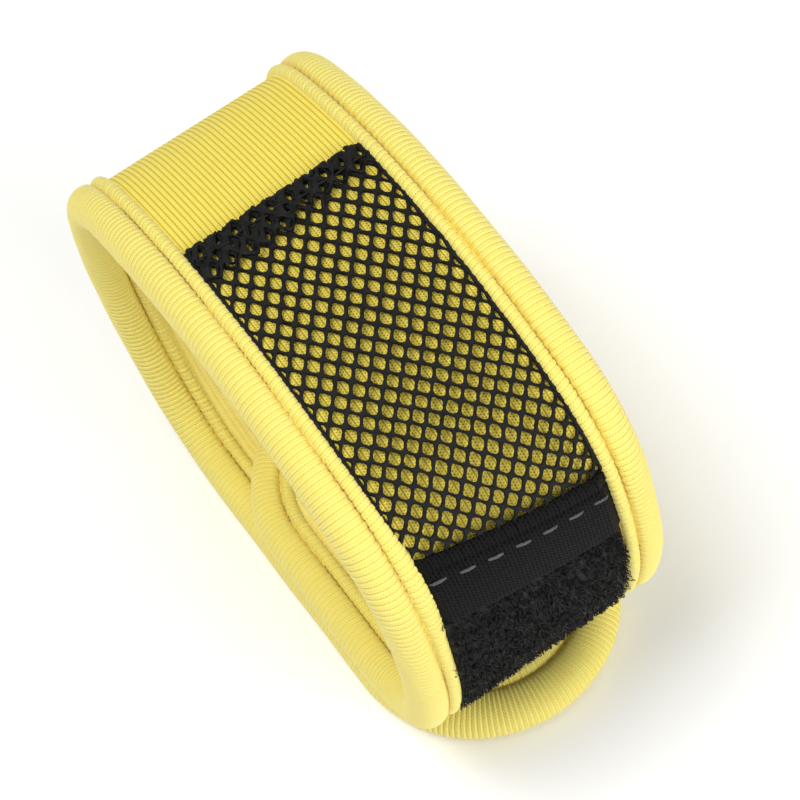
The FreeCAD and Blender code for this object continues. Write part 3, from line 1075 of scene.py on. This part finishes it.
for layer in (1, 2):
    low, high = pocket["start"], pocket["start"] + hem["width"] - hem["free"]
    shape = {"shift": hem["shift"] * (layer - 1), "thicker": hem["thicker"]}
    piece = makeNetLayer(f"pocketHem{layer}", low, high, hem["skew"], hem["jitter"], layer, **shape)
    co = points(piece)
    fold = ramp((co[:, 0] - low - hem["skew"]) / hem["foldOver"])
    tucked = ramp((np.abs(co[:, 1]) - net["tuckFrom"]) / hem["tuckOver"])
    step = hem["step"] * layer * (hem["foldHeight"] + (1 - hem["foldHeight"]) * fold)
    top = net["rise"] + step * (1 - hem["tuckShare"] * tucked) - net["tuck"] * tucked
    co[:, 2] += top + hem["unevenness"] * sway(co[:, 1], hem["unevenLength"], layer + 40)
    setPoints(piece, co)
    markCloth(piece, co[:, :2])
    finishHem(piece)

# the folded edge: knots lying along it, two rows a little out of step
hemKnot = {
    "length": 0.00135, "thickness": 0.00052, "sink": 0.00030, "pitch": 0.00115, "inset": 0.0002,
    "along": (0.00005, 0.00012),  # middle and spread
    "nextRow": 0.00035, "height": (-0.00015, 0.00022), "slant": (0.35, 0.85),
}
random = np.random.RandomState(17)
count = int(2 * patchHalfWidth / hemKnot["pitch"])
firstY = hemKnot["inset"] - patchHalfWidth
moves = np.zeros((2 * count, 3))
moves[:, 1] = np.tile((np.arange(count) + 0.5) * hemKnot["pitch"] + firstY, 2)
moves[count:, 1] += hemKnot["pitch"] / 2
moves[:, 0] = pocket["start"] + random.normal(*hemKnot["along"], 2 * count)
moves[count:, 0] += hemKnot["nextRow"]
moves[:, 2] = net["rise"] + random.uniform(*hemKnot["height"], 2 * count)
moves = moves[np.abs(moves[:, 1]) < patchHalfWidth - hemKnot["inset"]]
slant = random.choice([-1, 1], len(moves)) * random.uniform(*hemKnot["slant"], len(moves))
finishHem(scatter("hemEdge", stitchModel(hemKnot), spins(math.pi / 2 + slant), moves))


def finishNet(half):
    finish(half, netYarn, "net", "pocket_mesh")


# the net's last thread, drawn tight along each bead; the black cord also stands for the shade in
# the gap under the bead
edgeCordAndShade = {
    "ringPitch": 0.0002, "corners": 8, "radius": 0.00020, "knot": 0.00008, "knotPitch": 0.00125,
    "inset": 0.00012, "height": 0.00186, "unevenness": 0.00008, "unevenLength": 0.004,
}
for side, word in sides:
    low, high = pocket["start"], mouthTop + side * pocket["mouthSkew"]
    rings = round((high - low) / edgeCordAndShade["ringPitch"])
    piece = layFlat("netEdgeAndShade" + word, (low, high), (0, 1), rings, edgeCordAndShade["corners"])
    s, turn = points(piece)[:, :2].T
    knot = np.abs(np.sin(np.pi * s / edgeCordAndShade["knotPitch"]))
    thick = edgeCordAndShade["radius"] + edgeCordAndShade["knot"] * knot
    uneven = edgeCordAndShade["unevenness"] * sway(s, edgeCordAndShade["unevenLength"], 55 + side)
    y = side * (beadInnerY - edgeCordAndShade["inset"]) + thick * np.cos(turn * 2 * math.pi) + uneven
    n = edgeCordAndShade["height"] + thick * np.sin(turn * 2 * math.pi)
    setPoints(piece, np.stack([s, y, n], 1))
    markCloth(piece, np.stack([s, y], 1))
    seal(piece, 1e-6)
    finish(piece, netYarn, "net", "pocket_mesh")
    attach(piece, "panel")

low, high = pocket["start"] + net["underHem"], mouthTop + net["underElastic"]
piece = makeNetLayer("net", low, high, pocket["mouthSkew"], net["jitter"], 4)
co = points(piece)
co[:, 2] += pocketRise(co[:, 0], co[:, 1])
setPoints(piece, co)
markCloth(piece, co[:, :2])
hangHalves(piece, "pocketNet", finishNet, netWay, fill=True)
print("net knotted")

# the thread across the hem
hemStitch = {
    "count": 9, "length": 0.0020, "thickness": 0.0003, "sink": 0.0003, "astray": 0.00012,
    "slant": 0.12, "height": 0.0002,
}
random = np.random.RandomState(8)
count = hemStitch["count"]
moves = np.zeros((count, 3))
moves[:, 1] = evenly(count)
moves[:, 0] = pocket["start"] + hem["width"] / 2 + random.normal(0, hemStitch["astray"], count)
moves[:, 2] = net["rise"] + 2 * hem["step"] + hemStitch["height"]
turns = spins(math.pi / 2 + random.normal(0, hemStitch["slant"], count))
piece = scatter("hemStitches", stitchModel(hemStitch), turns, moves)
finish(piece, netYarn, "black_thread", "pocket_hem_thread")
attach(piece, "panel")
print("hem folded")

# the mouth elastic: folded over the net's edge, with ladder ribs along its upper edge
elastic = {
    "halfWidth": 0.0119, "columns": 88, "rows": 240, "thickness": 0.0009,
    "wall": 0.7,  # of the thickness
    "foot": 0.0002, "lift": 0.0009, "liftHalf": 0.0118, "liftFade": 0.55, "tuckFrom": 0.0117,
    "tuckOver": 0.0016, "ladderWidth": 0.0014, "ladderPitch": 0.00070, "ladderHeight": 0.00014,
    "ladderFade": (0.0002, 0.0003), "cordPitch": 0.00084, "cordHeight": 0.00002,
    "channelDepth": 0.00018,  # below the ladder
    "channelStep": 0.0002, "channelHalf": 0.00022, "edgeDrop": 0.0004, "edgeReach": 0.0005,
}


# how high the elastic stands at y, t down from its upper edge
def elasticTop(y, t):
    across = ramp(1 - (y / elastic["liftHalf"]) ** 2)
    body = elastic["thickness"] * ease((elastic["tuckFrom"] - np.abs(y)) / elastic["tuckOver"])
    lift = elastic["lift"] * across * (1 - elastic["liftFade"] * t / pocket["mouthWidth"])
    return strap["halfSheet"] + elastic["foot"] + body + lift


def ridges(at, pitch, sharpness):
    return np.abs(np.sin(np.pi * at / pitch)) ** sharpness


half = elastic["halfWidth"]
mouthSpan = (0, pocket["mouthWidth"])
piece = layFlat("elastic", mouthSpan, (-half, half), elastic["columns"], elastic["rows"])
t, y = points(piece)[:, :2].T
fadeIn, fadeOut = elastic["ladderFade"]
ladder = ramp((elastic["ladderWidth"] - t) / fadeOut) * ramp(t / fadeIn)
ribs = ridges(y, elastic["ladderPitch"], 0.5) * elastic["ladderHeight"] * ladder
cords = ridges(t, elastic["cordPitch"], 0.6) * elastic["cordHeight"] * (1 - ladder)
past = (t - elastic["ladderWidth"] - elastic["channelStep"]) / elastic["channelHalf"]
channel = -elastic["channelDepth"] * np.exp(-(past**2))
edge = np.minimum(t, pocket["mouthWidth"] - t)
rounded = -elastic["edgeDrop"] * ramp(1 - edge / elastic["edgeReach"]) ** 2
top = elasticTop(y, t) + ribs + cords + channel + rounded
setPoints(piece, np.stack([mouthLine(y, mouthTop) + t, y, top], 1))
markCloth(piece, np.stack([t, y], 1))
applyModifier(piece, "SOLIDIFY", thickness=elastic["thickness"] * elastic["wall"], offset=-1.0)


def finishElastic(half):
    finish(half, elasticWeave, "elastic", "mouth_elastic")


hangHalves(piece, "mouthElastic", finishElastic, acrossWay)

# the row of stitches through it
mouthStitch = {
    "count": 7, "length": 0.0023, "thickness": 0.00032, "sink": 0.00035,
    "line": 0.3,  # of the elastic's width, down from its upper edge
    "height": 0.00008, "slant": -0.15, "astray": 0.03,
}
everyY = evenly(mouthStitch["count"])
for side, word in sides:
    y = everyY[(everyY > 1e-6) == (side > 0)]
    t = np.full(len(y), mouthStitch["line"] * pocket["mouthWidth"])
    top = elasticTop(y, t) + mouthStitch["height"]
    moves = np.stack([mouthLine(y, mouthTop) + t, y, top], 1)
    slant = mouthStitch["slant"] + np.random.RandomState(3).normal(0, mouthStitch["astray"], len(y))
    turns = spins(math.pi / 2 + slant)
    piece = scatter("mouthStitches" + word, stitchModel(mouthStitch), turns, moves)
    finish(piece, greyThread, "grey_thread", "mouth_stitches")
    start, end = acrossWay(side)
    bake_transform(piece)
print("mouth sewn")

# the loop patch: a black backing and its curled pile
pile = {
    "start": mouthBottom - 0.0022, "grain": 0.0005, "columns": 46, "thickness": 0.0004,
    "foot": 0.0001, "backing": 0.0005, "edgeHeight": 0.3, "edgeSide": 0.0006, "edgeEnd": 0.0012,
    "unevenness": 0.00012, "denseLength": 0.017,
    "dense": 9.0e6,  # fibres to a square metre
    "sparse": 4.0e6,
    "loops": 0.6,  # of the dense ones, the rest are curls
    "radius": 0.000055,
    "usual": 0.0009,  # a fibre's usual height
    "tall": (0.0007, 0.0012), "lean": 0.45, "firstRow": 0.0018, "sides": 0.99, "roundEnd": 0.98,
    "rooted": 0.75,
}
half, low, high = patchHalfWidth, pile["start"], courseEnd + patchHalfWidth
rows = round((high - low) / pile["grain"])
piece = layFlat("loopPatch", (low, high), (-half, half), rows, pile["columns"])
trimRound(piece, "panel", half)
co = points(piece)
rough = sway(co[:, 0], 0.0021, 61) * sway(co[:, 1], 0.0019, 62) * pile["unevenness"]
edge = ramp((half - np.abs(co[:, 1])) / pile["edgeSide"]) * ramp((co[:, 0] - low) / pile["edgeEnd"])
stand = pile["thickness"] * (pile["edgeHeight"] + (1 - pile["edgeHeight"]) * edge)
co[:, 2] = strap["halfSheet"] + pile["foot"] + stand + rough
setPoints(piece, co)
applyModifier(piece, "SOLIDIFY", thickness=pile["backing"], offset=-1.0)
finish(piece, pileYarn, "loop_pile", "loop_patch")
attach(piece, "panel")

# a loop that comes back down and a curl that doesn't, both about as tall as 1
u = np.linspace(0, 1, 6)
leaning = 0.30 * np.sin(np.pi * u) * (1 - 0.4 * u)
loopPath = np.stack([leaning, 0.42 * (u - 0.3), 0.80 * np.sin(np.pi * u * 0.92)], 1)
curlPath = np.stack([0.45 * u**2, 0.25 * np.sin(3 * u), 1.0 * u - 0.35 * u**3], 1)


# where fibres stand on the patch, as many to the area as asked
def pilePlaces(low, high, density, seed):
    random = np.random.RandomState(seed)
    count = int((high - low) * 2 * patchHalfWidth * density)
    s = random.uniform(low, high, count)
    y = random.uniform(-patchHalfWidth, patchHalfWidth, count) * pile["sides"]
    past = pastEnd("panel", s)
    keep = (past < 0) | (np.hypot(past, y) < patchHalfWidth * pile["roundEnd"])
    keep &= s > mouthLine(y, pile["start"] + pile["firstRow"])
    root = np.full(count, strap["halfSheet"] + pile["thickness"] * pile["rooted"])
    return np.stack([s, y, root], 1)[keep]


middleSpot = pile["start"] + 0.0014 + pile["denseLength"]
for name, path, low, high, density, seed in (
    ("pileLoopsNear", loopPath, pile["start"], middleSpot, pile["dense"] * pile["loops"], 71),
    ("pileCurlsNear", curlPath, pile["start"], middleSpot, pile["dense"] * (1 - pile["loops"]), 72),
    ("pileLoopsFar", loopPath, middleSpot, courseEnd + patchHalfWidth, pile["sparse"], 73),
):
    moves = pilePlaces(low, high, density, seed)
    model = tubeModel(path, pile["radius"] / pile["usual"], 3)
    turns = tangles(len(moves), seed, pile["tall"], pile["lean"])
    piece = scatter(name, model, turns, moves)
    finish(piece, pileYarn, "loop_pile", "loop_patch")
    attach(piece, "panel")
print("pile raised")

# the hook tape on the strap end's inner face
hooks = {
    "tip": 0.0085,  # how far the tape goes into the round end
    "end": courseStart + tabCentre + 0.011, "base": 0.00035, "foot": 0.00012, "grain": 0.0006,
    "pitch": 0.0012, "height": 0.00062, "radius": 0.00010, "roundEnd": 0.96, "astray": 0.2,
    "rooted": 0.0001,
}
half, low, high = patchHalfWidth, courseStart - hooks["tip"], hooks["end"]
rows = round((high - low) / hooks["grain"])
piece = layFlat("hookTape", (low, high), (-half, half), rows, round(2 * half / hooks["grain"]))
trimRound(piece, "tab", half, hooks["tip"])
co = points(piece)
co[:, 2] = -strap["halfSheet"] - hooks["foot"] - hooks["base"]
setPoints(piece, co)
turnOver(piece)
applyModifier(piece, "SOLIDIFY", thickness=hooks["base"], offset=-1.0)
finish(piece, hookNylon, "hook_patch", "tab_hook_patch", "under_hook_patch")
hang(piece, "tab")

u = np.linspace(0, 1, 7)
bent = 0.30 * (1 - np.cos(u * 4.0)) / 2
hookPath = np.stack([bent, np.zeros(7), 1.0 * np.sin(u * 2.1)], 1) * hooks["height"]
rows, columns = int((high - low) / hooks["pitch"]), int(2 * half / hooks["pitch"])
everyS = low + (np.arange(rows) + 0.5) * (high - low) / rows
s, y = (grid.ravel() for grid in np.meshgrid(everyS, evenly(columns), indexing="ij"))
past = pastEnd("tab", s)
keep = (past < 0) | (np.hypot(past / hooks["tip"], y / half) < hooks["roundEnd"])
s, y = s[keep], y[keep]
random = np.random.RandomState(91)
root = -strap["halfSheet"] - hooks["rooted"] - hooks["base"]
turns = spins(random.choice([0, math.pi], len(s)) + random.normal(0, hooks["astray"], len(s)))
turns = turns * np.array([1, -1, -1])[None, :, None]
model = tubeModel(hookPath, hooks["radius"], 4)
piece = scatter("hooks", model, turns, np.stack([s, y, np.full(len(s), root)], 1))
finish(piece, hookNylon, "hook_patch", "tab_hook_patch", "under_hook_patch")
hang(piece, "tab")
print("hooks moulded")

# camera, floor and light
view = {
    "target": (0.0036, 0.0029, 0.0294), "distance": 0.3144, "elevation": 59.14,
    "azimuth": -20.85, "roll": 15.51, "lens": 122.75,
}
floorLook = {"size": 3, "height": -0.0002, "colour": (0.93, 0.93, 0.92, 1), "roughness": 0.9}
lights = {
    "softbox": {"place": (-0.10, -0.25, 0.82), "size": 0.45, "power": 5.05},
    "fill": {"place": (0.60, 0.22, 0.32), "size": 0.6, "power": 3.7},
}
lightAim = (0, 0, 0.03)
sky = {"Color": (0.97, 0.98, 1.0, 1), "Strength": 0.43}


def makeCamera():
    elevation, azimuth = math.radians(view["elevation"]), math.radians(view["azimuth"])
    level = math.cos(elevation)
    away = Vector((level * math.cos(azimuth), level * math.sin(azimuth), math.sin(elevation)))
    data = bpy.data.cameras.new("camera")
    data.lens = view["lens"]
    data.sensor_width = 36
    data.clip_start = 0.01
    camera = bpy.data.objects.new("camera", data)
    bpy.context.collection.objects.link(camera)
    camera.rotation_mode = "QUATERNION"
    roll = Matrix.Rotation(math.radians(-view["roll"]), 3, "Z")
    camera.rotation_quaternion = (away.to_track_quat("Z", "Y").to_matrix() @ roll).to_quaternion()
    camera.location = Vector(view["target"]) + away * view["distance"]
    bpy.context.scene.camera = camera


def makeFloor():
    bpy.ops.object.select_all(action="DESELECT")
    place = (0, 0, floorLook["height"])
    bpy.ops.mesh.primitive_plane_add(size=floorLook["size"], location=place)
    floor = bpy.context.object
    floor.name = "floor"
    material, tree, shader = newMaterial("floor")
    setInputs(shader, {"Base Color": floorLook["colour"], "Roughness": floorLook["roughness"]})
    floor.data.materials.append(material)


def addLight(name, place, size, power):
    data = bpy.data.lights.new(name, "AREA")
    data.size = size
    data.energy = power
    light = bpy.data.objects.new(name, data)
    bpy.context.collection.objects.link(light)
    light.location = place
    light.rotation_mode = "QUATERNION"
    light.rotation_quaternion = (Vector(place) - Vector(lightAim)).to_track_quat("Z", "Y")


makeCamera()
makeFloor()
for name, light in lights.items():
    addLight(name, **light)
world = bpy.data.worlds.new("studio")
world.use_nodes = True
setInputs(world.node_tree.nodes["Background"], sky)
bpy.context.scene.world = world
bpy.context.scene.view_settings.view_transform = "Standard"
print("camera and light set")
